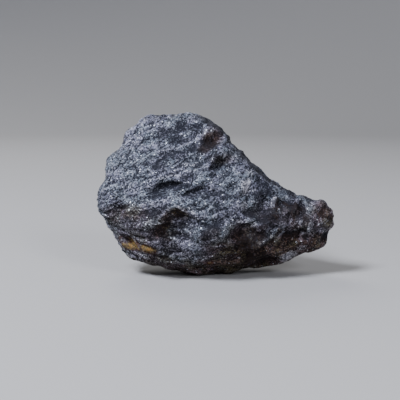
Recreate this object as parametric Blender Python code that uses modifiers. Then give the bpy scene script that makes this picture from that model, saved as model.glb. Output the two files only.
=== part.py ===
"""A tektite: one rough, etched lump of black natural glass that stands on a small flat spot.

Metres, +Z up. The broad face with the flow lines looks along -Y, the blunt end is at -X and the
narrow snout at +X. The origin is on the resting surface, under the middle of the lump's box.
Lengths in the tables below are millimetres, and angles are degrees.
"""

import bmesh
import bpy
import numpy as np
from mathutils import Vector, noise

MM = 0.001

# The lump before weathering
CORE = np.array([-2.0, 0.0, 15.0])  # middle of the glass, which every outline ray leaves from
FRONT_DEPTH = 11.8
BACK_DEPTH = 10.8
FULLNESS = 2.3  # 2 is an ellipse in section, more is boxier
SNOUT_THINNING = 0.38  # share of its depth that the snout loses at the tip
TOP_LEAN = 0.011  # how the lump bends back above its middle, per millimetre squared
SPHERE_CUTS = 6
SHELL_EDGE = 0.38  # spacing of the points that the relief is worked on
TRIANGLES = 9600

# The widest outline seen along Y, as (x, z), from the snout round over the top
OUTLINE = [
    (24.1, 11.4), (24.2, 13.0), (22.9, 14.8), (21.2, 15.5), (19.2, 15.7), (17.1, 16.2),
    (14.5, 17.9), (11.2, 19.8), (9.3, 21.5), (7.8, 23.3), (5.9, 24.6), (4.0, 26.0), (2.7, 28.1),
    (1.3, 29.6), (-0.7, 30.6), (-2.6, 32.0), (-5.2, 32.6), (-8.6, 32.4), (-12.2, 32.1),
    (-14.6, 31.1), (-16.8, 29.8), (-17.9, 28.3), (-17.9, 26.7), (-19.3, 25.2),
    (-21.3, 24.0), (-21.3, 22.0), (-20.9, 19.9), (-21.6, 18.2), (-23.5, 16.8), (-23.8, 15.2),
    (-23.5, 13.3), (-21.8, 11.3), (-20.5, 9.4), (-19.6, 7.4), (-18.6, 5.4), (-16.9, 3.6),
    (-14.0, 2.8), (-10.6, 2.3), (-7.2, 1.0), (-3.7, 0.2), (-0.3, -0.4), (3.5, 0.4),
    (7.0, 1.4), (10.2, 1.8), (12.6, 2.3), (15.4, 3.1), (17.0, 4.0), (19.1, 4.6),
    (21.2, 5.4), (22.9, 6.6), (23.2, 8.2), (23.5, 9.6),
]

# Broad faces where the lump was struck or ground: outward direction, distance from the core
# and how gradually the face turns into its neighbours
FACES = [
    ((-0.26, -0.86, 0.44), 10.9, 1.8),
    ((0.34, -0.88, 0.32), 10.9, 1.6),
    ((0.10, -0.66, -0.74), 12.4, 1.2),
    ((-0.66, -0.62, -0.42), 16.0, 1.6),
    ((0.05, 0.80, 0.60), 11.6, 1.8),
    ((-0.58, 0.80, 0.12), 13.6, 1.8),
    ((0.58, 0.78, 0.20), 13.2, 1.6),
    ((-0.06, 0.62, -0.78), 12.8, 1.4),
]

# Hollows (depth above 0) and lumps (below 0): side, middle (x, z), half sizes along and across,
# turn of the long way from +X, depth, steepness of the wall, raised rim, and how far towards
# its +long and +cross ends the deepest point lies
FRONT, BACK = -1, 1
HOLLOWS = [
    # front, top right: the scoop on the crest, the nook under it, the lump between them and the
    # broad bevel along the slope
    (FRONT, -0.1, 27.5, 3.2, 2.0, 50, 1.35, 1.6, 0.12, 0.0, 0.3),
    (FRONT, 1.1, 23.4, 2.6, 1.4, 8, 1.15, 1.6, 0.06, -0.3, 0.4),
    (FRONT, 1.5, 25.4, 1.6, 1.2, 0, -0.55, 1.4, 0.0, 0.0, 0.0),
    (FRONT, -4.2, 29.6, 2.6, 1.1, 5, 0.45, 1.6, 0.04, 0.3, 0.0),
    (FRONT, 12.2, 19.0, 7.2, 3.4, -43, 1.60, 1.1, 0.06, 0.0, 0.4),
    (FRONT, 5.0, 20.6, 3.6, 2.4, 70, -0.55, 1.3, 0.0, 0.0, 0.0),
    # front, middle: two long creases under overhanging flow bands
    (FRONT, -9.7, 18.4, 4.4, 1.4, 12, 1.20, 1.8, 0.12, 0.4, 0.6),
    (FRONT, -3.2, 17.9, 2.8, 1.1, 8, 0.75, 1.8, 0.08, -0.3, 0.5),
    # front, lower left: the large thumb-shaped scoop with its side channel, the pocket at the
    # blunt end and the one that holds the soil
    (FRONT, -7.0, 9.2, 6.0, 4.0, 80, 2.20, 1.4, 0.14, 0.65, 0.35),
    (FRONT, -5.9, 6.8, 2.9, 2.4, 20, -0.50, 1.3, 0.0, 0.0, 0.3),
    (FRONT, -11.2, 9.9, 3.4, 1.7, 40, 0.90, 1.5, 0.06, 0.0, 0.0),
    (FRONT, -18.6, 14.2, 2.6, 1.6, 6, 1.10, 1.6, 0.12, 0.0, 0.3),
    (FRONT, -15.8, 6.6, 3.6, 1.5, -20, 1.15, 1.8, 0.10, -0.4, 0.3),
    # front, right: the broken ground towards the snout
    (FRONT, 9.9, 15.6, 2.0, 1.4, 50, 0.90, 1.7, 0.10, 0.0, 0.3),
    (FRONT, 14.0, 15.1, 1.9, 1.4, 20, 0.85, 1.7, 0.08, 0.0, 0.3),
    (FRONT, 17.2, 14.7, 1.8, 1.3, 80, 0.85, 1.7, 0.08, 0.2, 0.0),
    (FRONT, 15.3, 12.8, 2.3, 1.3, 15, 0.75, 1.6, 0.06, 0.0, 0.3),
    (FRONT, 7.9, 13.6, 2.8, 1.5, -20, 0.80, 1.6, 0.06, 0.0, 0.4),
    (FRONT, 6.1, 9.7, 4.0, 2.3, -10, 1.25, 1.5, 0.08, 0.0, 0.5),
    (FRONT, 15.7, 8.1, 6.2, 1.7, 4, 0.85, 1.5, 0.06, 0.0, 0.3),
    (FRONT, 22.2, 8.0, 1.6, 1.3, 60, 0.60, 1.7, 0.04, 0.0, 0.0),
    (FRONT, 10.8, 3.3, 2.9, 2.2, 10, 0.95, 1.6, 0.05, 0.2, 0.2),
    # back: broad scoops with low lips between them
    (BACK, -10.5, 21.5, 6.8, 4.6, 35, 1.60, 1.3, 0.12, 0.2, 0.0),
    (BACK, 1.5, 14.0, 6.0, 4.0, -25, 1.50, 1.4, 0.12, 0.0, 0.3),
    (BACK, -16.5, 10.5, 4.0, 3.0, 70, 1.10, 1.6, 0.10, 0.0, 0.0),
    (BACK, 12.5, 10.0, 5.2, 2.6, -12, 1.00, 1.6, 0.10, 0.3, 0.0),
    (BACK, -5.0, 5.5, 5.6, 2.2, 10, 0.90, 1.6, 0.08, 0.0, 0.3),
    (BACK, 1.8, 24.3, 3.4, 1.8, -48, 0.90, 1.6, 0.08, 0.0, 0.0),
    (BACK, -4.4, 28.3, 2.6, 1.6, 10, 0.70, 1.6, 0.06, 0.0, 0.0),
    (BACK, 19.0, 12.4, 2.0, 1.4, 30, 0.60, 1.6, 0.05, 0.0, 0.0),
]

# Ledges: side, points (x, z) along the lip, height, and how fast the step falls off. The glass
# stands proud on the left of the line as it is walked.
LEDGES = [
    (FRONT, [(-21.6, 16.9), (-15.1, 18.0), (-11.2, 19.3), (-6.4, 20.2), (-1.2, 18.8)], 0.55, 2.6),
    (FRONT, [(-20.8, 12.0), (-16.9, 10.9), (-14.1, 9.9), (-10.4, 11.0), (-8.6, 14.2), (-6.3, 15.2),
             (-4.7, 13.5), (-3.2, 10.4)], 0.70, 2.4),
    (FRONT, [(1.6, 8.9), (3.5, 11.2), (5.0, 12.3), (7.7, 11.7), (11.0, 10.0), (15.1, 10.0),
             (19.5, 9.8), (23.0, 9.0)], 1.00, 2.8),
    (FRONT, [(0.9, 23.8), (-0.5, 21.7), (-1.6, 19.0)], -0.50, 2.2),
    (FRONT, [(7.1, 22.9), (7.4, 19.9), (9.2, 16.8)], -0.40, 2.0),
    (BACK, [(-21.0, 17.0), (-12.0, 15.6), (-4.0, 18.6), (4.0, 19.6)], 0.70, 3.0),
    (BACK, [(-14.0, 5.0), (-6.0, 9.2), (4.0, 8.6), (14.0, 6.0), (20.0, 8.5)], 0.65, 2.6),
]
LIP_SOFTNESS = 0.55

# Flow lines: they fan out from a point off the blunt end and bend up towards the snout
FAN = (-36.0, 12.5)
FAN_REACH = 26.0  # distance from that point at which the bands are as wide as stated
BAND_WIDTH = 1.8
BAND_LENGTH = 10.0
BAND_HEIGHT = 0.44
BAND_SWAY = 7.0
BEND_START = -5.0
BEND = 0.028

# Unevenness: size of the swells, height, seed
SWELLS = [(9.0, 0.60, 3.7), (4.2, 0.42, 11.3), (2.2, 0.16, 23.9)]
WANDER = (4.5, 0.9)  # size and reach of the wandering that keeps hollows and ledges irregular

FLAT_SPOT = 0.6  # how far above the lowest point the resting spot is ground off
CUTTER_SIZE = 60.0


def clear_scene():
    for thing in list(bpy.data.objects):
        bpy.data.objects.remove(thing)


def outline_radius(angles):
    """Distance from the core to the outline at each angle, with its corners slightly rounded."""
    points = np.array(OUTLINE) - CORE[[0, 2]]
    turns = np.arctan2(points[:, 1], points[:, 0])
    order = np.argsort(turns)
    steps = np.radians(np.arange(0, 360, 0.5))
    radii = np.interp(steps, turns[order], np.hypot(*points[order].T), period=2 * np.pi)
    spread = np.exp(-0.5 * (np.arange(-9, 10) / 3.0) ** 2)
    padded = np.concatenate([radii[-9:], radii, radii[:9]])
    radii = np.convolve(padded, spread / spread.sum(), mode="valid")
    return np.interp(angles, steps, radii, period=2 * np.pi)


def smooth_step(low, high, values):
    share = np.clip((values - low) / (high - low), 0, 1)
    return share * share * (3 - 2 * share)


def unworn_lump(directions):
    """Carries points of a unit sphere to the lump's plain rounded form."""
    across, depth = np.hypot(directions[:, 0], directions[:, 2]), np.abs(directions[:, 1])
    angles = np.arctan2(directions[:, 2], directions[:, 0])
    size = (across ** FULLNESS + depth ** FULLNESS) ** (1 / FULLNESS)
    reach = outline_radius(angles) * across / size
    half = np.where(directions[:, 1] < 0, FRONT_DEPTH, BACK_DEPTH)
    x, z = CORE[0] + reach * np.cos(angles), CORE[2] + reach * np.sin(angles)
    half = half * (1 - SNOUT_THINNING * smooth_step(4, 26, x))
    return np.stack([x, np.sign(directions[:, 1]) * half * depth / size, z], axis=1)


def press_faces(points):
    """Presses each broad face into the rounded form, with a soft edge."""
    for direction, distance, softness in FACES:
        outward = np.array(direction) / np.linalg.norm(direction)
        proud = (points - CORE) @ outward - distance
        pushed = softness * np.logaddexp(0, proud / softness * 2) / 2
        points = points - pushed[:, None] * outward
    return points


def plain_shell():
    """The pressed lump as a closed mesh in millimetres, with evenly spaced points."""
    ball = bmesh.new()
    bmesh.ops.create_icosphere(ball, subdivisions=SPHERE_CUTS, radius=1)
    points = press_faces(unworn_lump(np.array([v.co for v in ball.verts])))
    points[:, 1] += TOP_LEAN * np.clip(points[:, 2] - CORE[2], 0, None) ** 2
    for vertex, point in zip(ball.verts, points):
        vertex.co = point
    draft_mesh = bpy.data.meshes.new("draft")
    ball.to_mesh(draft_mesh)
    ball.free()

    draft = bpy.data.objects.new("draft", draft_mesh)
    bpy.context.scene.collection.objects.link(draft)
    even = draft.modifiers.new("even", "REMESH")
    even.voxel_size = SHELL_EDGE
    even_draft = draft.evaluated_get(bpy.context.evaluated_depsgraph_get())
    mesh = bpy.data.meshes.new_from_object(even_draft)
    mesh.name = "tektite"
    bpy.data.objects.remove(draft)
    return mesh


def hollow(points, normals, side, x, z, long, cross, turn, steep, rim, ahead, aside):
    """Share of one hollow's depth at each point, and its rim. (x, z) pins its middle."""
    facing = normals[:, 1] * side > -0.2
    near = np.hypot(points[:, 0] - x, points[:, 2] - z) + np.where(facing, 0, 1000)
    middle, outward = points[near.argmin()], normals[near.argmin()]
    level = np.array([np.cos(np.radians(turn)), 0, np.sin(np.radians(turn))])
    way = level - outward * (level @ outward)
    way /= np.linalg.norm(way)
    other = np.cross(way, outward) * side
    offset = points - middle
    u, v, w = offset @ way / long, offset @ other / cross, offset @ outward
    reach = np.hypot(u, v)
    close = 1 - smooth_step(0.6, 1.2, np.abs(w) / (long + cross) * 1.2)
    lean = 1 + ahead * np.clip(u, -1, 1) + aside * np.clip(v, -1, 1)
    bowl = np.clip(1 - reach ** (1.2 * steep), 0, 1) ** (1.5 / steep) * lean
    lip = np.exp(-((reach - 1.12) / 0.22) ** 2) * rim
    return bowl * close, lip * close


def ledge(points, normals, side, line, height, width):
    """How far the glass beside a lip stands proud: most at the lip, fading with distance."""
    flat, line = points[:, [0, 2]], np.array(line)
    best, sign, fade = np.full(len(points), 1e9), np.zeros(len(points)), np.ones(len(points))
    for k, (a, b) in enumerate(zip(line, line[1:])):
        run = b - a
        share = (flat - a) @ run / (run @ run)
        offset = flat - a - np.clip(share, 0, 1)[:, None] * run
        distance = np.hypot(*offset.T)
        past = np.where((k == 0) & (share < 0), -share, 0)
        past = np.where((k == len(line) - 2) & (share > 1), share - 1, past) * np.hypot(*run)
        nearer = distance < best
        sign = np.where(nearer, np.sign(run[0] * offset[:, 1] - run[1] * offset[:, 0]), sign)
        fade = np.where(nearer, np.exp(-((past / width) ** 2)), fade)
        best = np.minimum(best, distance)
    step = np.tanh(best * sign / LIP_SOFTNESS) * np.exp(-((best / width) ** 2)) * fade
    return height / 2 * step * smooth_step(-0.1, 0.35, normals[:, 1] * side)


def flow_bands(points):
    """Low sharp-crested ridges left by the glass's flow, long one way and narrow the other."""
    x, z = points[:, 0] - FAN[0], points[:, 2] - FAN[1]
    bend = BEND * np.clip(points[:, 0] - BEND_START, 0, None) ** 2
    across = np.arctan2(z - bend, x) * FAN_REACH / BAND_WIDTH
    along, depth = np.hypot(x, z) / BAND_LENGTH, points[:, 1] / BAND_LENGTH
    sway = np.array([noise.noise(Vector(p) / BAND_SWAY) for p in points])
    across += 0.5 + 0.6 * sway
    crest = [1 - 2.4 * abs(noise.noise(place)) for place in zip(along, across, depth)]
    return BAND_HEIGHT * np.array(crest) * smooth_step(10, 22, np.hypot(x, z))


def swells(points):
    """Gentle unevenness of the whole surface, coarse to fine."""
    total = np.zeros(len(points))
    for size, height, seed in SWELLS:
        offset = Vector((seed, seed * 1.7, seed * 0.6))
        total += height * np.array([noise.noise(Vector(p) / size + offset) for p in points])
    return total


def weathered_points(points, normals):
    size, reach = WANDER
    wandered = points + reach * np.array([noise.noise_vector(Vector(p) / size) for p in points])

    relief = np.zeros(len(points))
    for entry in LEDGES:
        relief += ledge(wandered, normals, *entry)
    calm = np.ones(len(points))
    for *place, depth, steep, rim, ahead, aside in HOLLOWS:
        bowl, lip = hollow(wandered, normals, *place, steep, rim, ahead, aside)
        relief -= depth * bowl - lip
        calm *= 1 - 0.8 * np.clip(bowl, 0, 1)
    relief += swells(points) + flow_bands(points) * calm
    return points + relief[:, None] * normals


def flat_spot_cutter(collection):
    """A block under the resting surface, which grinds the lump's lowest point flat."""
    bpy.ops.mesh.primitive_cube_add(size=1, location=(0, 0, -CUTTER_SIZE * MM / 2))
    cutter = bpy.context.object
    cutter.name = "flat_spot_cutter"
    cutter.scale = (CUTTER_SIZE * MM,) * 3
    cutter.hide_render = True
    cutter.display_type = "WIRE"
    for home in cutter.users_collection:
        home.objects.unlink(cutter)
    collection.objects.link(cutter)
    return cutter


def glass_material():
    glass = bpy.data.materials.new("etched_black_glass")
    glass.use_nodes = True
    shader = glass.node_tree.nodes["Principled BSDF"]
    shader.inputs["Base Color"].default_value = (0.045, 0.05, 0.06, 1)
    shader.inputs["Roughness"].default_value = 0.42
    shader.inputs["Metallic"].default_value = 0.0
    return glass


def new_collection(name):
    collection = bpy.data.collections.new(name)
    bpy.context.scene.collection.children.link(collection)
    return collection


def build():
    clear_scene()
    parts, cutters = new_collection("Tektite"), new_collection("Cutters")

    mesh = plain_shell()
    points = np.array([v.co for v in mesh.vertices])
    normals = np.array([v.normal for v in mesh.vertices])
    points = weathered_points(points, normals)
    points[:, 2] -= points[:, 2].min() + FLAT_SPOT
    points[:, :2] -= (points[:, :2].min(0) + points[:, :2].max(0)) / 2
    mesh.vertices.foreach_set("co", (points * MM).ravel())
    mesh.shade_smooth()
    mesh.materials.append(glass_material())
    stone = bpy.data.objects.new("tektite", mesh)
    parts.objects.link(stone)

    fewer = stone.modifiers.new("fewer_faces", "DECIMATE")
    fewer.ratio = TRIANGLES / (2 * len(mesh.polygons))
    ground = stone.modifiers.new("flat_spot", "BOOLEAN")
    ground.operation = "DIFFERENCE"
    ground.object = flat_spot_cutter(cutters)


build()
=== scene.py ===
import math
import random

import bpy
import numpy as np
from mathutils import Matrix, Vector, kdtree, noise


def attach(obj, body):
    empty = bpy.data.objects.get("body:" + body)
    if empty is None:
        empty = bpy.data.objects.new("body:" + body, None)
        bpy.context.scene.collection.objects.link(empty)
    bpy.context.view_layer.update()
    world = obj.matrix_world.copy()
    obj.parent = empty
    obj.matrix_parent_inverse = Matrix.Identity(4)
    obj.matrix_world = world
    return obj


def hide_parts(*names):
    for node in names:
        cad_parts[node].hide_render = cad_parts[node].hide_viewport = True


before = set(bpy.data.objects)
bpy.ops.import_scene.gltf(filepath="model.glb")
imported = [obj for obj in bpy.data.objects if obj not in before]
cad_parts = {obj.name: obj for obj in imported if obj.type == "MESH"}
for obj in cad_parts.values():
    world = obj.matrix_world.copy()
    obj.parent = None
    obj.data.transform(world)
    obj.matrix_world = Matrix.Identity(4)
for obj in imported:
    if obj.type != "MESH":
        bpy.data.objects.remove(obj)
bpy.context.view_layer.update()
mm = 0.001
print("frame loaded")


# Camera: a long lens a little above the lump, aimed to the left of its middle and a little low
view = {
    "lens": 85.0,
    "sensor": 36.0,
    "elevation": 8.0,
    "pictureWidth": 81.0,  # mm across the picture at the lump
    "aim": (-3.14, 14.9),  # mm to the right of the lump's foot and up from it
    "nearest": 0.005,  # metres
}


def pictureAxes():
    tilt = math.radians(view["elevation"])
    back = Vector((0, -math.cos(tilt), math.sin(tilt)))
    up = Vector((0, math.sin(tilt), math.cos(tilt)))
    return Vector((1, 0, 0)), up, back


def cameraDistance():
    return view["pictureWidth"] * view["lens"] / view["sensor"]


def makeCamera():
    right, up, back = pictureAxes()
    data = bpy.data.cameras.new("camera")
    data.lens = view["lens"]
    data.sensor_width = view["sensor"]
    data.clip_start = view["nearest"]
    camera = bpy.data.objects.new("camera", data)
    bpy.context.scene.collection.objects.link(camera)
    middle = (right * view["aim"][0] + up * view["aim"][1]) * mm
    camera.location = middle + back * (cameraDistance() * mm)
    camera.rotation_mode = "QUATERNION"
    camera.rotation_quaternion = (-back).to_track_quat("-Z", "Y")
    bpy.context.scene.camera = camera


# Stage, in metres: a pale round floor that bends up into a wall on every side, open above
tent = {
    "tint": (0.27, 0.265, 0.262),
    "rough": 0.9,
    "shine": 0.2,
    "floorRadius": 0.40,
    "bendRadius": 0.30,
    "wallHeight": 0.30,
    "turnSteps": 96,
    "bendSteps": 24,
    "weld": 0.0001,
}


def tentProfile():
    profile = [(0.0, 0.0), (tent["floorRadius"], 0.0)]
    for k in range(1, tent["bendSteps"] + 1):
        turn = math.pi / 2 * k / tent["bendSteps"]
        out = tent["floorRadius"] + tent["bendRadius"] * math.sin(turn)
        profile.append((out, tent["bendRadius"] * (1 - math.cos(turn))))
    profile.append((profile[-1][0], tent["bendRadius"] + tent["wallHeight"]))
    return profile


def palePaper():
    material = bpy.data.materials.new("palePaper")
    material.use_nodes = True
    shader = material.node_tree.nodes["Principled BSDF"]
    shader.inputs["Base Color"].default_value = (*tent["tint"], 1)
    shader.inputs["Roughness"].default_value = tent["rough"]
    shader.inputs["Specular IOR Level"].default_value = tent["shine"]
    return material


def makeTent():
    profile = tentProfile()
    mesh = bpy.data.meshes.new("paleFloor")
    mesh.from_pydata([(x, 0, z) for x, z in profile], [(k, k + 1) for k in range(len(profile) - 1)], [])
    mesh.materials.append(palePaper())
    floor = bpy.data.objects.new("paleFloor", mesh)
    bpy.context.scene.collection.objects.link(floor)
    turned = floor.modifiers.new("turned", "SCREW")
    turned.steps = tent["turnSteps"]
    turned.render_steps = tent["turnSteps"]
    turned.use_merge_vertices = True
    turned.merge_threshold = tent["weld"]
    turned.use_smooth_shade = True
    turned.use_normal_calculate = True


# Light, in metres: one large cool window high on the left, a weak one on the right and one
# behind, all turned to the lump's middle, and the rest from the sky above
lighting = {
    "lamps": [
        # name, place, size, watts, colour
        ("window", (-0.25, -0.24, 0.40), 0.15, 7.6, (0.85, 0.89, 1.0)),
        ("secondWindow", (0.22, -0.36, 0.26), 0.12, 1.5, (0.88, 0.91, 1.0)),
        ("behind", (-0.16, 0.32, 0.36), 0.25, 1.4, (1.0, 1.0, 1.0)),
    ],
    "lumpMiddle": (0, 0, 0.016),
    "skyTint": (0.93, 0.95, 1.0),
    "skyStrength": 0.28,
}


def makeLights():
    for name, place, size, watts, tint in lighting["lamps"]:
        data = bpy.data.lights.new(name, "AREA")
        data.size = size
        data.energy = watts
        data.color = tint
        lamp = bpy.data.objects.new(name, data)
        bpy.context.scene.collection.objects.link(lamp)
        lamp.location = place
        lamp.rotation_mode = "QUATERNION"
        away = Vector(place) - Vector(lighting["lumpMiddle"])
        lamp.rotation_quaternion = away.to_track_quat("Z", "Y")
    world = bpy.data.worlds.new("sky")
    bpy.context.scene.world = world
    world.use_nodes = True
    sky = world.node_tree.nodes["Background"]
    sky.inputs["Color"].default_value = (*lighting["skyTint"], 1)
    sky.inputs["Strength"].default_value = lighting["skyStrength"]


makeCamera()
makeTent()
makeLights()
print("camera, floor and light made")


# The lump's skin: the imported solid's surface with fine points, smoothed of its facets and
# then etched. From here on lengths are in millimetres.
skin = {
    "spacing": 0.228,
    "smoothing": 11,  # rounds
    "smoothingShare": 0.5,  # of the way to the neighbours' mean, each round
    "flatSpot": 0.02,  # what lies lower than this stays on the resting surface
    "clearance": 0.004,  # the rest of the skin stays this far above it
    "seed": 41,
}
seedStep = (1, 1.7, 0.6)  # a noise with a seed is read this far off for each 1 of the seed


def valuesAt(places, seed):
    offset = Vector([seed * step for step in seedStep])
    return np.array([noise.noise(Vector(place) + offset) for place in places])


def smoothStep(low, high, values):
    share = np.clip((values - low) / (high - low), 0, 1)
    return share * share * (3 - 2 * share)


def skinMesh():
    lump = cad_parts["tektite"]
    piece = bpy.data.objects.new("etched_lump", lump.data.copy())
    piece.data.materials.clear()
    bpy.context.scene.collection.objects.link(piece)
    fine = piece.modifiers.new("fine", "REMESH")
    fine.mode = "VOXEL"
    fine.voxel_size = skin["spacing"] * mm
    soft = piece.modifiers.new("soft", "SMOOTH")
    soft.factor = skin["smoothingShare"]
    soft.iterations = skin["smoothing"]
    done = piece.evaluated_get(bpy.context.evaluated_depsgraph_get())
    mesh = bpy.data.meshes.new_from_object(done)
    piece.modifiers.clear()
    piece.data = mesh
    mesh.name = "etched_lump"
    return piece


def pointsOf(mesh):
    flat = np.empty(len(mesh.vertices) * 3)
    mesh.vertices.foreach_get("co", flat)
    return flat.reshape(-1, 3) / mm


def normalsOf(mesh):
    flat = np.empty(len(mesh.vertices) * 3, np.float32)
    mesh.vertex_normals.foreach_get("vector", flat)
    return flat.reshape(-1, 3).astype(float)


def setPoints(mesh, points):
    mesh.vertices.foreach_set("co", (points * mm).ravel())
    mesh.update()


# Flow lines: they fan out from a point off the blunt end and bend up towards the snout
flow = {
    "fan": (-32.0, 10.6),
    "reach": 24.0,  # distance from that point at which sizes across the flow are as stated
    "bendStart": -5.4,
    "bend": 0.028,
    "sway": 0.5,
    "swaySize": 6.0,
    "swaySeed": 2.2,
}


def flowPlaces(points):
    x, z = points[:, 0] - flow["fan"][0], points[:, 2] - flow["fan"][1]
    lift = flow["bend"] * np.clip(points[:, 0] - flow["bendStart"], 0, None) ** 2
    across = np.arctan2(z - lift, x) * flow["reach"]
    across += flow["sway"] * valuesAt(points / flow["swaySize"], flow["swaySeed"])
    return np.stack([np.hypot(x, z), across, points[:, 1]], axis=1)


def flowWay(points):
    x, z = points[:, 0] - flow["fan"][0], points[:, 2] - flow["fan"][1]
    ahead = np.clip(points[:, 0] - flow["bendStart"], 0, None)
    slope = (z - flow["bend"] * ahead ** 2) / x + 2 * flow["bend"] * ahead
    return np.stack([np.ones(len(x)), np.zeros(len(x)), slope], axis=1)


# Narrow grooves along the flow, which come and go in patches
grooves = {
    "sets": [
        # size along and across the flow, depth, width, seed
        (3.8, 1.30, 0.24, 0.26, 3.1),
        (2.3, 0.80, 0.16, 0.28, 17.3),
    ],
    "runBack": 2.4,  # size in Y, in sizes across the flow
    "patchShare": 0.7,  # size of the grooves, in sizes of the patches
    "patchFade": (-0.05, 0.3),
    "patchSeed": 40,
}


def grooveRelief(places):
    total = np.zeros(len(places))
    for long, cross, depth, width, seed in grooves["sets"]:
        stretched = places / np.array([long, cross, grooves["runBack"] * cross])
        patches = valuesAt(stretched * grooves["patchShare"], seed + grooves["patchSeed"])
        line = np.exp(-((valuesAt(stretched, seed) / width) ** 2))
        total -= depth * line * smoothStep(*grooves["patchFade"], patches)
    return total


# Low folds along the flow, and the round grain on them
folds = {
    "sets": [
        # size along and across the flow, height, seed
        (6.0, 2.1, 0.15, 5.5),
        (3.2, 1.15, 0.12, 31.7),
        (1.1, 0.75, 0.055, 22.4),
        (0.50, 0.45, 0.055, 12.9),
    ],
    "noiseGain": 1.6,  # brings the noise up to the stated height
}


def foldRelief(places):
    total = np.zeros(len(places))
    for long, cross, height, seed in folds["sets"]:
        stretched = places / np.array([long, cross, 0.5 * (long + cross)])
        total += height * folds["noiseGain"] * valuesAt(stretched, seed)
    return total


# The worn edge along the slope: its line as the camera sees it, as (x, z)
wornEdge = {
    "line": [(-3.0, 32.7), (1.9, 29.5), (5.5, 25.2), (9.5, 20.3), (15.2, 17.2)],
    "half": 1.0,
    "fade": (1.35, 0.6),  # in half widths
    "wander": (1.6, 0.3, 6.4),  # size, reach, seed
    "stripMiddle": -1.4,  # in Y
    "stripFade": (4.8, 2.6),
    "stripWander": (2.2, 1.6, 9.1),
    "smoothing": 0.5,  # share of the relief that is worn off
}


def asSeen(points):
    right, up, back = (np.array(axis) for axis in pictureAxes())
    distance = cameraDistance()
    scale = distance / (distance - points @ back)
    aim = np.array(view["aim"])
    flat = np.stack([points @ right, points @ up], axis=1)
    return aim + (flat - aim) * scale[:, None]


def wornMask(points):
    seen, nearest = asSeen(points), np.full(len(points), np.inf)
    line = np.array(wornEdge["line"])
    for start, end in zip(line[:-1], line[1:]):
        step = end - start
        along = np.clip((seen - start) @ step / (step @ step), 0, 1)
        nearest = np.minimum(nearest, np.hypot(*(seen - start - along[:, None] * step).T))
    size, reach, seed = wornEdge["wander"]
    band = smoothStep(*wornEdge["fade"], nearest / wornEdge["half"] + reach * valuesAt(points / size, seed))
    size, reach, seed = wornEdge["stripWander"]
    away = np.abs(points[:, 1] - wornEdge["stripMiddle"]) + reach * valuesAt(points / size, seed)
    return band * smoothStep(*wornEdge["stripFade"], away)


# Scratch-like hollows along the flow, and round etched pits: each pair is the least and the
# most that it can be
gouges = {
    "count": 700,
    "long": (0.4, 1.5),
    "cross": (0.16, 0.34),
    "depth": (0.08, 0.26),
    "depthFromSize": 0.6,  # the rest of it is left to chance
    "stray": 16,  # degrees off the flow
    "fewLarge": 1.6,  # the higher, the fewer large ones
}
pits = {
    "count": 500,
    "radius": (0.22, 0.65),
    "depth": (0.06, 0.17),
    "narrowing": (0.65, 1.0),
    "fewLarge": 2.2,
}
# the bowl that each of them presses in, with a low rim: sizes in half sizes of the bowl
bowl = {
    "power": 1.3,
    "rim": 0.05,  # share of the depth
    "rimAt": 1.15,
    "rimWidth": 0.2,
    "reach": 1.3,
}


def between(ends, share):
    return ends[0] + share * (ends[1] - ends[0])


def scatteredHollows(points, normals, ways):
    dice = random.Random(skin["seed"])
    tree = kdtree.KDTree(len(points))
    for k, point in enumerate(points):
        tree.insert(point, k)
    tree.balance()
    depth = np.zeros(len(points))

    def press(k, long, cross, deep, turn):
        outward = normals[k]
        way = ways[k] - outward * (ways[k] @ outward)
        way /= np.linalg.norm(way) + 1e-9
        other = np.cross(outward, way)
        c, s = math.cos(turn), math.sin(turn)
        way, other = way * c + other * s, other * c - way * s
        near = np.array([found[1] for found in tree.find_range(points[k], long * bowl["reach"])])
        offset = points[near] - points[k]
        reach = np.hypot(offset @ way / long, offset @ other / cross)
        sunk = deep * np.clip(1 - reach ** 2, 0, 1) ** bowl["power"]
        rim = bowl["rim"] * deep * np.exp(-((reach - bowl["rimAt"]) / bowl["rimWidth"]) ** 2)
        depth[near] += sunk - rim

    for _ in range(gouges["count"]):
        k = dice.randrange(len(points))
        size = dice.random() ** gouges["fewLarge"]
        cross = dice.uniform(*gouges["cross"])
        share = gouges["depthFromSize"]
        deep = between(gouges["depth"], share * size + (1 - share) * dice.random())
        press(k, between(gouges["long"], size), cross, deep, math.radians(dice.gauss(0, gouges["stray"])))
    for _ in range(pits["count"]):
        k = dice.randrange(len(points))
        size = dice.random() ** pits["fewLarge"]
        radius = between(pits["radius"], size)
        cross = radius * dice.uniform(*pits["narrowing"])
        press(k, radius, cross, between(pits["depth"], size), dice.uniform(0, math.pi))
    return depth


piece = skinMesh()
mesh = piece.data
points, normals = pointsOf(mesh), normalsOf(mesh)
print("skin:", len(mesh.vertices), "points,", len(mesh.polygons), "faces")
places = flowPlaces(points)
relief = grooveRelief(places) + foldRelief(places) - scatteredHollows(points, normals, flowWay(points))
worn = wornMask(points)
relief *= 1 - wornEdge["smoothing"] * worn
shaped = points + relief[:, None] * normals
rests = points[:, 2] < skin["flatSpot"]
shaped[rests] = points[rests]
shaped[:, 2] = np.maximum(shaped[:, 2], np.where(rests, 0, skin["clearance"]))
setPoints(mesh, shaped)
mesh.shade_smooth()
print("skin etched")


# How hollow the skin is: the points settle towards their neighbours, and each one's depth
# below the settled surface is kept as 0.5 to 1, and its height above it as 0.5 to 0
hollowSizes = {
    # rounds of settling, depth that counts as 1
    "groove": (8, 0.10),
    "valley": (36, 0.30),
    "hollow": (178, 1.1),
}
settlingShare = 0.6


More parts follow.
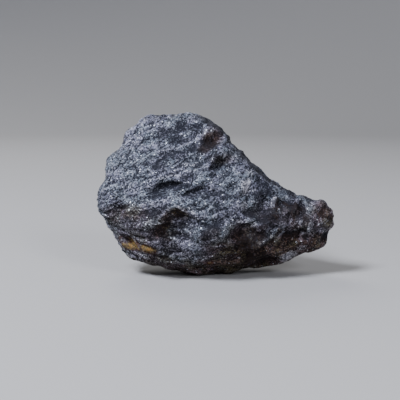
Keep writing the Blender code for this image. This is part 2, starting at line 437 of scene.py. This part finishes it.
def settled(mesh, points, rounds):
    ends = np.empty(len(mesh.edges) * 2, np.int64)
    mesh.edges.foreach_get("vertices", ends)
    a, b = ends[::2], ends[1::2]
    count = np.bincount(a, minlength=len(points)) + np.bincount(b, minlength=len(points))
    for _ in range(rounds):
        near = np.empty_like(points)
        for axis in range(3):
            along = points[:, axis]
            near[:, axis] = np.bincount(a, along[b], len(points)) + np.bincount(b, along[a], len(points))
        points = (1 - settlingShare) * points + settlingShare * near / count[:, None]
    return points


def hollowness(mesh, points, normals, rounds, most):
    below = ((settled(mesh, points, rounds) - points) * normals).sum(1)
    return np.clip(0.5 + below / (2 * most), 0, 1)


def keepField(mesh, name, values):
    field = mesh.attributes.new(name, "FLOAT", "POINT")
    field.data.foreach_set("value", values.astype(np.float32))


points, normals = pointsOf(mesh), normalsOf(mesh)
hollows = {}
for name, (rounds, most) in hollowSizes.items():
    hollows[name] = hollowness(mesh, points, normals, rounds, most)
    keepField(mesh, name, hollows[name])
print("hollows measured")


# Marks on the front. Each is (x, z) as the camera sees it, its two half sizes,
# its turn in degrees and its strength. First, the warm shade: brown painted shade with a warm
# painted reflection, on recesses, overhangs and faces turned down from the light
warmShadePlaces = [
    (-10.7, 9.6, 3.8, 1.5, 58, 1.0),
    (-7.4, 12.2, 2.2, 1.2, -15, 1.0),
    (-14.5, 7.5, 9.0, 6.0, -10, 0.45),
    (-0.7, 27.4, 2.8, 1.9, 50, 1.0),
    (1.3, 23.2, 2.4, 1.3, 5, 0.5),
    (-2.0, 25.4, 1.6, 1.1, 20, 0.8),
    (-17.2, 12.3, 4.0, 1.8, -6, 0.85),
    (-20.6, 11.2, 2.4, 2.4, 0, 0.7),
    (-12.0, 3.0, 6.5, 1.6, -18, 0.75),
    (-16.2, 7.2, 4.8, 2.2, -22, 0.6),
    (6.2, 7.4, 4.2, 2.9, -10, 1.0),
    (15.6, 6.2, 7.5, 2.1, 5, 1.0),
    (10.6, 3.1, 5.2, 2.4, 6, 1.0),
    (1.5, 4.6, 4.6, 3.2, 0, 0.85),
    (22.2, 11.8, 3.2, 3.8, 0, 0.9),
    (15.4, 11.4, 9.0, 3.0, -6, 0.45),
    (-1.0, 7.6, 2.6, 1.6, 20, 0.5),
]
# where soil is left
soilPlaces = [
    (-17.2, 6.0, 2.7, 1.5, -12, 1.0),
    (-15.6, 5.6, 2.0, 1.2, -16, 1.0),
    (-13.8, 5.0, 2.5, 1.0, -18, 1.0),
    (-19.1, 6.9, 1.3, 0.9, -30, 0.7),
    (-1.1, 2.1, 0.9, 0.5, 0, 0.9),
]
# where the soil has come off, down to a dark red stain
soilHoles = [
    (-18.2, 6.7, 1.1, 0.7, -20, 0.55),
    (-15.2, 6.3, 0.9, 0.4, -20, 0.45),
    (-12.9, 5.6, 1.2, 0.4, -18, 0.4),
]
# where the skin is broken into small blunt blocks
brokenPlaces = [
    (15.6, 11.4, 8.8, 5.0, -8, 1.0),
    (8.0, 6.0, 5.0, 3.5, 0, 0.7),
    (-8.6, 9.0, 3.0, 3.6, 0, 0.4),
]
# the dark shade: grain darkened as painted shade in streaks along the flow, the deepest
# nooks and creases, and on faces turned from the light
darkShadePlaces = [
    (9.9, 17.9, 3.0, 1.0, -50, 0.9),
    (0.9, 28.9, 1.6, 1.1, 40, 1.0),
    (1.6, 23.9, 2.2, 1.1, 12, 0.8),
    (8.6, 21.6, 2.0, 0.9, -52, 0.8),
    (14.3, 16.6, 1.4, 1.0, -20, 0.9),
    (10.4, 19.2, 1.2, 0.8, -50, 1.0),
    (3.9, 19.5, 1.0, 1.0, 0, 0.3),
    (-1.5, 30.5, 2.6, 1.0, -35, 0.6),
    (9.8, 16.1, 1.3, 1.0, -45, 0.9),
    (8.2, 12.2, 2.4, 1.2, 10, 1.1),
    (8.2, 13.6, 0.9, 0.9, 0, 1.0),
    (10.6, 11.4, 3.6, 2.3, -10, 1.0),
    (14.8, 13.6, 2.9, 1.7, 0, 0.75),
    (17.1, 14.3, 1.6, 0.9, 80, 0.7),
    (19.0, 11.4, 3.4, 1.8, -15, 0.5),
    (18.1, 7.4, 1.1, 0.8, 0, 0.9),
    (21.0, 9.4, 1.8, 0.9, 0, 0.8),
    (-7.0, 29.9, 1.7, 1.2, 60, 0.9),
    (-10.6, 28.6, 2.0, 1.0, 25, 0.85),
    (-9.5, 31.9, 5.5, 1.0, -2, 0.4),
    (-3.8, 29.4, 2.0, 1.1, 0, 0.7),
    (-4.2, 25.5, 2.9, 1.0, 12, 0.9),
    (-1.8, 25.8, 2.4, 1.6, 10, 1.2),
    (-12.3, 12.0, 1.6, 0.9, 20, 1.1),
    (-10.7, 9.6, 3.4, 1.0, 58, 0.8),
    (-7.4, 12.2, 1.6, 0.8, -15, 0.7),
    (-7.0, 7.5, 1.8, 0.9, 0, 0.9),
    (-12.4, 5.6, 1.0, 0.9, 0, 0.7),
    (0.0, 7.3, 1.2, 1.0, 0, 0.9),
    (1.2, 15.5, 3.0, 1.2, 8, 0.7),
    (-4.2, 15.4, 1.2, 0.8, 0, 0.5),
    (8.2, 15.9, 1.2, 1.0, 0, 0.6),
    (22.6, 13.0, 2.0, 3.0, 0, 0.5),
    (-8.0, 23.8, 1.7, 0.9, 30, 0.75),
    (-11.0, 24.2, 2.4, 0.45, 38, 0.3),
    (-11.2, 22.1, 2.6, 1.0, 32, 0.9),
    (-16.9, 21.6, 2.4, 0.7, 25, 0.65),
    (-16.3, 19.3, 3.0, 0.4, 12, 0.6),
    (-14.7, 26.8, 1.3, 0.35, 42, 0.5),
    (-18.2, 29.4, 1.2, 1.0, 40, 0.4),
    (-9.9, 28.4, 2.6, 1.3, 15, 0.9),
    (-8.4, 27.2, 1.6, 1.2, 10, 1.0),
    (-9.3, 23.2, 1.5, 0.5, 45, 0.5),
    (-6.3, 24.1, 1.1, 0.5, 70, 0.8),
    (-5.6, 19.4, 2.2, 0.8, 10, 0.75),
    (-0.9, 21.5, 2.5, 0.5, 93, 0.5),
    (-6.2, 17.7, 1.8, 0.9, 0, 0.7),
    (-9.6, 17.9, 3.2, 0.9, 12, 0.5),
    (-11.3, 15.7, 2.6, 0.7, 8, 0.85),
    (-1.0, 15.6, 2.4, 0.9, 0, 0.8),
    (1.9, 22.0, 1.4, 1.2, 0, 0.6),
    (1.4, 13.4, 1.4, 1.4, 70, 0.35),
    (18.5, 15.6, 2.3, 1.0, -12, 1.0),
    (18.8, 10.6, 2.6, 2.0, 0, 0.5),
    (8.6, 12.0, 1.8, 1.2, 0, 1.1),
    (-10.6, 13.7, 1.6, 0.8, 10, 0.5),
    (-14.2, 11.8, 2.8, 1.0, 4, 0.5),
    (-0.7, 8.4, 3.0, 1.8, 35, 0.9),
    (1.0, 8.8, 0.6, 1.7, 0, 0.6),
    (7.4, 6.2, 3.4, 2.8, 0, 1.1),
    (15.0, 8.0, 1.4, 0.8, 0, 0.6),
    (-4.9, 13.8, 0.9, 0.5, 0, 0.6),
    (21.8, 7.6, 1.5, 1.2, 60, 1.0),
    (8.6, 3.0, 3.6, 1.8, 0, 1.0),
]
# painted highlights: smooth chips, facets and rims given a pale colour where they catch more
# light than the grain around them
paleHighlightPlaces = [
    (11.7, 14.6, 1.4, 0.6, 60, 1.5),
    (6.5, 18.5, 1.0, 0.7, 60, 1.4),
    (6.0, 17.4, 1.2, 1.9, 10, 0.95),
    (5.8, 13.7, 1.0, 1.3, 0, 0.8),
    (4.9, 10.5, 0.9, 0.5, 0, 0.9),
    (6.9, 20.6, 1.3, 1.1, -30, 0.6),
    (3.9, 23.6, 1.8, 1.3, -30, 0.55),
    (14.7, 3.5, 2.4, 1.0, 22, 1.1),
    (17.4, 5.2, 1.6, 0.6, 12, 0.8),
    (-9.2, 5.4, 1.8, 0.9, 0, 0.6),
    (16.3, 9.8, 1.2, 0.7, 0, 0.6),
    (-21.0, 13.4, 1.6, 0.8, -15, 0.45),
    (-15.5, 27.8, 1.8, 0.7, 0, 0.4),
    (-14.3, 15.5, 1.4, 0.5, 10, 0.45),
    (-4.2, 11.2, 1.2, 0.8, 0, 0.45),
    (2.0, 11.2, 1.0, 0.8, 0, 0.45),
    (-14.2, 9.6, 2.4, 0.7, -5, 0.5),
    (-2.1, 3.2, 1.6, 0.6, -10, 0.5),
    (2.6, 3.4, 2.2, 0.6, 0, 0.5),
    (-2.4, 21.6, 1.0, 0.8, 0, 0.4),
    (17.0, 10.4, 1.5, 0.5, 0, 0.6),
    (7.6, 10.0, 0.9, 0.6, 20, 0.8),
    (19.4, 14.1, 0.8, 0.6, 0, 0.7),
    (-14.5, 3.6, 1.8, 0.7, -20, 0.85),
    (-5.5, 3.6, 2.8, 1.0, 0, 0.6),
    (-4.6, 12.4, 1.6, 0.5, -55, 0.8),
    (-7.1, 13.2, 1.5, 0.28, -38, 1.1),
    (-19.4, 9.6, 2.8, 0.5, -15, 0.9),
    (-17.4, 8.5, 2.4, 0.4, -8, 0.8),
    (0.0, 5.4, 0.8, 0.5, 0, 0.6),
    (4.8, 3.2, 0.7, 0.4, 0, 0.6),
    (-12.2, 26.4, 1.6, 0.6, 25, 0.4),
    (-5.4, 22.0, 3.2, 0.7, 5, 0.6),
    (-10.0, 19.6, 3.6, 0.5, 10, 0.6),
]

# How the marks fade at their edges, how uneven they are, and how far round they reach
marks = {
    "front": (0.25, -0.15),  # where the front ends, as the normal's share in Y
    "edge": (1.45, 0.35),  # in half sizes
    "backShare": 1.4,  # how far back a mark reaches, in its half lengths
    "backMore": 1.0,  # and this many mm on top
    "wobbles": [(2.4, 8.8, 1.0), (1.1, 3.3, 0.5)],  # size, seed, share
    # how strong each kind is on the whole, how much of the wobble it takes, and its most
    "warmShade": (0.8, 0.35, 1.3),
    "soil": (1.0, 0.25, 1.3),
    "darkShade": (1.0, 0.8, 1.0),
    "pale": (1.0, 0.4, 1.0),
    "brokenEverywhere": 0.25,  # added all over to what is marked as broken
}

# The brown painted shade at the foot, with a warm painted reflection, where the lower faces
# turn down from the light; it is higher and stronger towards the snout
lowShade = {
    "rise": (-4.0, 4.0),  # where it starts and stops rising, in X
    "top": (4.0, 8.0),  # its height to the left and to the right of that
    "strength": (0.8, 0.92),  # the same for its strength
    "fade": (1.5, -1.5),  # from above its top to below it
    "wobble": 1.6,
}

# The back's broad hollows get the brown painted shade, and the low ones hold soil: how hollow,
# how far round to the back and how low a place has to be
backHollowShade = {"hollow": (0.58, 0.8), "wobble": 0.12, "back": (-0.2, 0.2), "strength": 0.8}
backSoil = {"hollow": (0.72, 0.9), "wobble": 0.2, "back": (-0.1, 0.3), "strength": 0.8, "height": (16, 9)}


def placedMask(points, normals, spots):
    seen, total = asSeen(points), np.zeros(len(points))
    front = smoothStep(*marks["front"], normals[:, 1])
    facing = np.flatnonzero(front > 0.5)
    for x, z, long, cross, turn, strength in spots:
        c, s = math.cos(math.radians(turn)), math.sin(math.radians(turn))
        u, v = seen[:, 0] - x, seen[:, 1] - z
        middle = facing[np.argmin(np.hypot(u[facing], v[facing]))]
        away = (points[:, 1] - points[middle, 1]) / (marks["backShare"] * long + marks["backMore"])
        reach = np.sqrt(((u * c + v * s) / long) ** 2 + ((v * c - u * s) / cross) ** 2 + away ** 2)
        total = np.maximum(total, strength * smoothStep(*marks["edge"], reach))
    return total * front


def uneven(kind, wobble):
    whole, share, most = marks[kind]
    return np.clip(whole + share * wobble, 0, most)


def lowShadeMask(points, wobble):
    rise = smoothStep(*lowShade["rise"], points[:, 0])
    above = points[:, 2] + lowShade["wobble"] * wobble - between(lowShade["top"], rise)
    return smoothStep(*lowShade["fade"], above) * between(lowShade["strength"], rise)


def backMask(rule, normals, broadHollow, wobble):
    sunk = smoothStep(*rule["hollow"], broadHollow + rule["wobble"] * wobble)
    return rule["strength"] * sunk * smoothStep(*rule["back"], normals[:, 1])


wobble = sum(share * valuesAt(points / size, seed) for size, seed, share in marks["wobbles"])

# the warm shade: brown painted shade with a warm painted reflection, on the marked places, along the foot
# and in the back's hollows
brown = placedMask(points, normals, warmShadePlaces) * uneven("warmShade", wobble)
brown = np.maximum(brown, lowShadeMask(points, wobble))
brown = np.maximum(brown, backMask(backHollowShade, normals, hollows["hollow"], wobble))
keepField(mesh, "warmShade", np.clip(brown, 0, 1))

soil = placedMask(points, normals, soilPlaces) * uneven("soil", wobble)
soil *= 1 - placedMask(points, normals, soilHoles)
low = smoothStep(*backSoil["height"], points[:, 2])
soil = np.maximum(soil, low * backMask(backSoil, normals, hollows["hollow"], wobble))
keepField(mesh, "soil", np.clip(soil, 0, 1))

broken = np.clip(placedMask(points, normals, brokenPlaces) + marks["brokenEverywhere"], 0, 1)
keepField(mesh, "broken", broken * (1 - worn))
# painted shade: the dark-shade marks
keepField(mesh, "darkShade", placedMask(points, normals, darkShadePlaces) * uneven("darkShade", wobble))
# painted highlights: the pale marks
keepField(mesh, "pale", placedMask(points, normals, paleHighlightPlaces) * uneven("pale", wobble))
keepField(mesh, "worn", worn)
flowField = mesh.attributes.new("flow", "FLOAT_VECTOR", "POINT")
flowField.data.foreach_set("vector", flowPlaces(points).astype(np.float32).ravel())
print("marks placed")


# Black glass with an etched satin skin. A pair of numbers is where a mask starts and where
# it is full, and two more are its values there.
glass = {
    # size in mm, detail and roughness of each noise
    "grain": (0.19, 2.0, 0.6),
    "streak": (0.42, 2.0, 0.5),
    "patch": (3.2, 1.0, 0.5),
    "crumb": (0.62, 4.0, 0.75),
    "streakStretch": (0.22, 1.0, 0.5),
    # how light a grain is: shares of the noise and of the facet's own luck
    "grainShare": 0.75,
    "facetShare": 0.42,
    "levelDrop": 0.085,
    # painted shade: how much rarer the light grains get in grooves, valleys, hollows and the
    # shade marks: field, where it starts, where it is full, share
    "settling": [
        ("groove", 0.42, 0.70, 0.075),
        ("valley", 0.44, 0.76, 0.05),
        ("hollow", 0.46, 0.85, 0.05),
        ("darkShade", 0.0, 1.0, 0.22),
        ("warmShade", 0.0, 1.0, 0.06),
    ],
    "streakDark": (0.60, 0.36, 0.0, 0.09),
    "brightRange": (0.18, 0.82),
    "brightPower": 1.4,
    "warmPower": 0.8,  # below 1, so that brown places show more of their lights
    # painted shade: the grain darkened in the valleys and under the dark-shade marks
    "valleyShade": (0.72, 0.45, 0.7, 1.0),
    "blackShade": (0.2, 1.0, 1.0, 0.85),
    # the skin, from its dark nooks to its light grains
    "skinTint": (0.236, 0.243, 0.338),
    "coolTint": (0.212, 0.252, 0.315),
    "coolPatch": (0.40, 0.60),
    "greyTint": (0.248, 0.241, 0.257),
    "greyShare": 0.7,
    "deepTint": (0.003, 0.004, 0.008),
    "deepLight": (0.013, 0.013, 0.019),
    "deepRange": (0.42, 0.80),
    "deepLuck": 0.15,
    # painted highlights: rare lit facets given a near-white colour as glints
    "glintTint": (0.72, 0.75, 0.82),
    "glintRare": (0.955, 0.975),
    "glintBright": (0.25, 0.6),
    # the brown painted shade and warm painted reflection, from its dark nooks to its light grains
    "brownTint": (0.009, 0.0045, 0.0035),
    "brownLift": (0.134, 0.083, 0.053),
    "plumLift": (0.126, 0.073, 0.069),
    "plumPatch": (0.52, 0.42),
    "oliveLift": (0.116, 0.093, 0.043),
    "olivePatch": (0.54, 0.64),
    "sparedFacets": (0.86, 0.93, 1.0, 0.35),  # the few facets that keep less of it
    # painted highlights on chips, facets and rims
    "paleTint": (0.42, 0.41, 0.45),
    "paleDeep": (0.11, 0.11, 0.13),
    "paleLevel": (0.30, 0.62),
    "paleLuck": 0.5,  # how far the facets and the grain move its edge
    "paleRagged": 1.4,
    "paleEdge": (0.45, 1.25),
    "paleCover": 0.9,
    # soil, from dark red through olive to ochre
    "soilTint": (0.25, 0.130, 0.034),
    "soilDark": (0.060, 0.016, 0.007),
    "soilOlive": (0.105, 0.082, 0.034),
    "oliveCrumbs": (0.39, 0.50),
    "ochreCrumbs": (0.50, 0.62),
    "soilMiddle": 0.9,  # thicker than this turns to ochre, thinner to red
    "soilThick": 0.4,
    "soilRagged": 1.6,
    "soilEdge": (0.34, 0.95),
    "soilCover": 0.9,
    # the worn edge
    "wornTint": (0.006, 0.006, 0.009),
    "wornCover": 0.85,
    # blunt blocks where the skin is broken
    "blockSize": 1.7,
    "blockSway": 0.9,  # size of the noise that bends their sides
    "blockSwayReach": 1.6,
    "blockShare": 0.42,  # how much lighter or darker they are
    "blockTilt": 0.75,
    "blockBrown": 1.1,
    "blockBrownLuck": 0.45,  # the share of them that is browned
    "blockBrownIn": (0.3, 0.9),
    # gloss and relief
    "skinRough": 0.30,
    "pitRough": 0.85,
    "roughRange": (0.0, 0.65),
    "sparkRough": 0.17,
    "sparkLuck": (0.66, 0.74),
    "sparkBright": (0.1, 0.4),
    "soilRough": 0.92,
    "wornRough": 0.72,
    "ior": 1.5,
    "shine": 0.16,
    "grainHeight": 0.10,  # mm
    "streakHeight": 0.10,
    "facetSize": 0.235,
    "facetTilt": 0.8,
}


class Nodes:
    def __init__(self, tree):
        self.tree = tree

    def add(self, kind, **settings):
        node = self.tree.nodes.new(kind)
        for key, value in settings.items():
            setattr(node, key, value)
        return node

    def put(self, socket, value):
        if isinstance(value, bpy.types.NodeSocket):
            self.tree.links.new(value, socket)
        elif isinstance(value, tuple) and len(value) == 3 and socket.type == "RGBA":
            socket.default_value = (*value, 1)
        else:
            socket.default_value = value

    def calc(self, how, a, b=0.0, clamp=False):
        node = self.add("ShaderNodeMath", operation=how, use_clamp=clamp)
        self.put(node.inputs[0], a)
        self.put(node.inputs[1], b)
        return node.outputs[0]

    def plus(self, a, b):
        return self.calc("ADD", a, b)

    def minus(self, a, b):
        return self.calc("SUBTRACT", a, b)

    def times(self, a, b):
        return self.calc("MULTIPLY", a, b)

    def vector(self, how, a, b=None):
        node = self.add("ShaderNodeVectorMath", operation=how)
        self.put(node.inputs[0], a)
        if how == "SCALE":
            self.put(node.inputs["Scale"], b)
        elif b is not None:
            self.put(node.inputs[1], b)
        return node.outputs[0]

    # a random colour, read as a small step or lean
    def lean(self, colour, share):
        return self.vector("SCALE", self.vector("SUBTRACT", colour, (0.5, 0.5, 0.5)), share)

    # an edge moved to and fro by a noise
    def ragged(self, edge, noise, share):
        return self.plus(edge, self.times(self.minus(noise, 0.5), share))

    def spread(self, value, low, high, toLow=0.0, toHigh=1.0):
        node = self.add("ShaderNodeMapRange", interpolation_type="SMOOTHSTEP")
        self.put(node.inputs["Value"], value)
        for name, number in zip(("From Min", "From Max", "To Min", "To Max"), (low, high, toLow, toHigh)):
            self.put(node.inputs[name], number)
        return node.outputs["Result"]

    def blend(self, share, a, b):
        node = self.add("ShaderNodeMix", data_type="FLOAT")
        for k, value in ((0, share), (2, a), (3, b)):
            self.put(node.inputs[k], value)
        return node.outputs[0]

    def mix(self, share, a, b):
        node = self.add("ShaderNodeMix", data_type="RGBA")
        for k, value in ((0, share), (6, a), (7, b)):
            self.put(node.inputs[k], value)
        return node.outputs[2]

    def field(self, name, output="Fac"):
        return self.add("ShaderNodeAttribute", attribute_name=name).outputs[output]

    def noise(self, place, size, detail=2.0, rough=0.5, output="Fac"):
        node = self.add("ShaderNodeTexNoise")
        self.put(node.inputs["Vector"], place)
        node.inputs["Scale"].default_value = 1 / size
        node.inputs["Detail"].default_value = detail
        node.inputs["Roughness"].default_value = rough
        return node.outputs[output]

    def cells(self, place, size):
        node = self.add("ShaderNodeTexVoronoi", feature="F1")
        self.put(node.inputs["Vector"], place)
        node.inputs["Scale"].default_value = 1 / size
        return node.outputs["Color"]

    def split(self, colour):
        node = self.add("ShaderNodeSeparateColor")
        self.put(node.inputs[0], colour)
        return node.outputs


# The noises, cells and fields that the layers share
def glassParts(n):
    own = n.add("ShaderNodeTexCoord").outputs["Object"]
    place = n.vector("SCALE", own, 1 / mm)
    stretch = n.vector("MULTIPLY", n.field("flow", "Vector"), glass["streakStretch"])
    sway = n.noise(place, glass["blockSway"], output="Color")
    swayed = n.vector("ADD", place, n.lean(sway, glass["blockSwayReach"]))
    parts = {name: n.field(name) for name in ("warmShade", "soil", "pale", "broken")}
    parts["worn"] = n.times(n.field("worn"), glass["wornCover"])
    parts["grain"] = n.noise(place, *glass["grain"])
    parts["streak"] = n.noise(stretch, *glass["streak"])
    parts["patch"] = n.noise(place, *glass["patch"])
    parts["crumb"] = n.noise(place, *glass["crumb"])
    parts["facet"] = n.cells(place, glass["facetSize"])
    parts["luck"], parts["rarity"], parts["shade"] = n.split(parts["facet"])[:3]
    parts["block"] = n.cells(swayed, glass["blockSize"])
    parts["blockLuck"] = n.split(parts["block"])[0]
    return parts


# How light each grain is, before it is given a colour
def grainLevel(n, parts):
    grain = n.times(parts["grain"], glass["grainShare"])
    level = n.minus(n.plus(grain, n.times(parts["luck"], glass["facetShare"])), glass["levelDrop"])
    shift = n.times(n.minus(parts["blockLuck"], 0.5), glass["blockShare"])
    level = n.plus(level, n.times(shift, parts["broken"]))
    # painted shade: light grains get rarer in grooves, valleys, hollows and the shade marks
    for field, start, full, share in glass["settling"]:
        level = n.minus(level, n.spread(n.field(field), start, full, 0.0, share))
    return n.minus(level, n.spread(parts["streak"], *glass["streakDark"]))


def skinColour(n, parts, bright):
    tint = n.mix(n.spread(parts["patch"], *glass["coolPatch"]), glass["skinTint"], glass["coolTint"])
    tint = n.mix(n.times(parts["shade"], glass["greyShare"]), tint, glass["greyTint"])
    lucky = n.plus(parts["grain"], n.times(parts["luck"], glass["deepLuck"]))
    deep = n.mix(n.spread(lucky, *glass["deepRange"]), glass["deepTint"], glass["deepLight"])
    return n.mix(bright, deep, tint)


# the colour of the brown painted shade and warm painted reflection, plum and olive in patches
def brownColour(n, parts, warm):
    lift = n.mix(n.spread(parts["patch"], *glass["plumPatch"]), glass["brownLift"], glass["plumLift"])
    lift = n.mix(n.spread(parts["patch"], *glass["olivePatch"]), lift, glass["oliveLift"])
    return n.mix(warm, glass["brownTint"], lift)


# The brown painted shade, to which some of the broken blocks add their own brown at random,
# with a few facets that keep less of it
def brownMask(n, parts):
    warmth = n.times(n.minus(glass["blockBrownLuck"], parts["blockLuck"]), glass["blockBrown"])
    warmth = n.times(n.calc("MAXIMUM", warmth, 0.0), n.spread(parts["broken"], *glass["blockBrownIn"]))
    warmShade = n.calc("ADD", parts["warmShade"], warmth, clamp=True)
    return n.times(warmShade, n.spread(parts["shade"], *glass["sparedFacets"]))


# painted glints on rare facets of the lit grain
def glintMask(n, parts, bright):
    return n.times(n.spread(parts["rarity"], *glass["glintRare"]), n.spread(bright, *glass["glintBright"]))


# painted highlights: where the pale colour covers the grain
def paleHighlightMask(n, parts):
    edge = n.ragged(parts["pale"], parts["luck"], glass["paleLuck"])
    edge = n.ragged(edge, parts["grain"], glass["paleRagged"])
    return n.times(n.spread(edge, *glass["paleEdge"]), glass["paleCover"])


def paleHighlightColour(n, level):
    return n.mix(n.spread(level, *glass["paleLevel"]), glass["paleDeep"], glass["paleTint"])


def soilMask(n, parts):
    edge = n.ragged(parts["soil"], parts["grain"], glass["soilRagged"])
    return n.times(n.spread(edge, *glass["soilEdge"]), glass["soilCover"])


def soilColour(n, parts):
    thick = n.times(n.minus(parts["soil"], glass["soilMiddle"]), glass["soilThick"])
    crumbs = n.plus(parts["crumb"], thick)
    colour = n.mix(n.spread(crumbs, *glass["oliveCrumbs"]), glass["soilDark"], glass["soilOlive"])
    return n.mix(n.spread(crumbs, *glass["ochreCrumbs"]), colour, glass["soilTint"])


def glassRoughness(n, parts, bright, soil):
    rough = n.spread(bright, *glass["roughRange"], glass["pitRough"], glass["skinRough"])
    spark = n.times(n.spread(parts["luck"], *glass["sparkLuck"]), n.spread(bright, *glass["sparkBright"]))
    rough = n.blend(spark, rough, glass["sparkRough"])
    rough = n.blend(soil, rough, glass["soilRough"])
    return n.blend(parts["worn"], rough, glass["wornRough"])


def glassNormal(n, parts):
    grain = n.times(parts["grain"], glass["grainHeight"])
    bump = n.add("ShaderNodeBump")
    bump.inputs["Strength"].default_value = 1.0
    bump.inputs["Distance"].default_value = mm
    n.put(bump.inputs["Height"], n.plus(grain, n.times(parts["streak"], glass["streakHeight"])))
    facets = n.lean(parts["facet"], n.times(n.minus(1.0, parts["worn"]), glass["facetTilt"]))
    blocks = n.lean(parts["block"], n.times(parts["broken"], glass["blockTilt"]))
    tilt = n.vector("ADD", facets, blocks)
    return n.vector("NORMALIZE", n.vector("ADD", bump.outputs["Normal"], tilt))


def etchedGlass():
    material = bpy.data.materials.new("etchedGlass")
    material.use_nodes = True
    n = Nodes(material.node_tree)
    shader = material.node_tree.nodes["Principled BSDF"]
    parts = glassParts(n)
    level = grainLevel(n, parts)
    bright = n.calc("POWER", n.spread(level, *glass["brightRange"]), glass["brightPower"])
    warm = n.calc("POWER", bright, glass["warmPower"])
    # painted shade in the valleys and under the dark-shade marks
    bright = n.times(bright, n.spread(n.field("valley"), *glass["valleyShade"]))
    bright = n.times(bright, n.spread(n.field("darkShade"), *glass["blackShade"]))
    soil = soilMask(n, parts)

    # brown painted shade over the skin, then painted glints, painted highlights, soil and the worn edge
    colour = n.mix(brownMask(n, parts), skinColour(n, parts, bright), brownColour(n, parts, warm))
    colour = n.mix(glintMask(n, parts, bright), colour, glass["glintTint"])
    colour = n.mix(paleHighlightMask(n, parts), colour, paleHighlightColour(n, level))
    colour = n.mix(soil, colour, soilColour(n, parts))
    n.put(shader.inputs["Base Color"], n.mix(parts["worn"], colour, glass["wornTint"]))

    n.put(shader.inputs["Roughness"], glassRoughness(n, parts, bright, soil))
    n.put(shader.inputs["Normal"], glassNormal(n, parts))
    shader.inputs["IOR"].default_value = glass["ior"]
    shader.inputs["Specular IOR Level"].default_value = glass["shine"]
    return material


mesh.materials.clear()
mesh.materials.append(etchedGlass())
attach(piece, "root")
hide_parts("tektite")
print("glass finished")
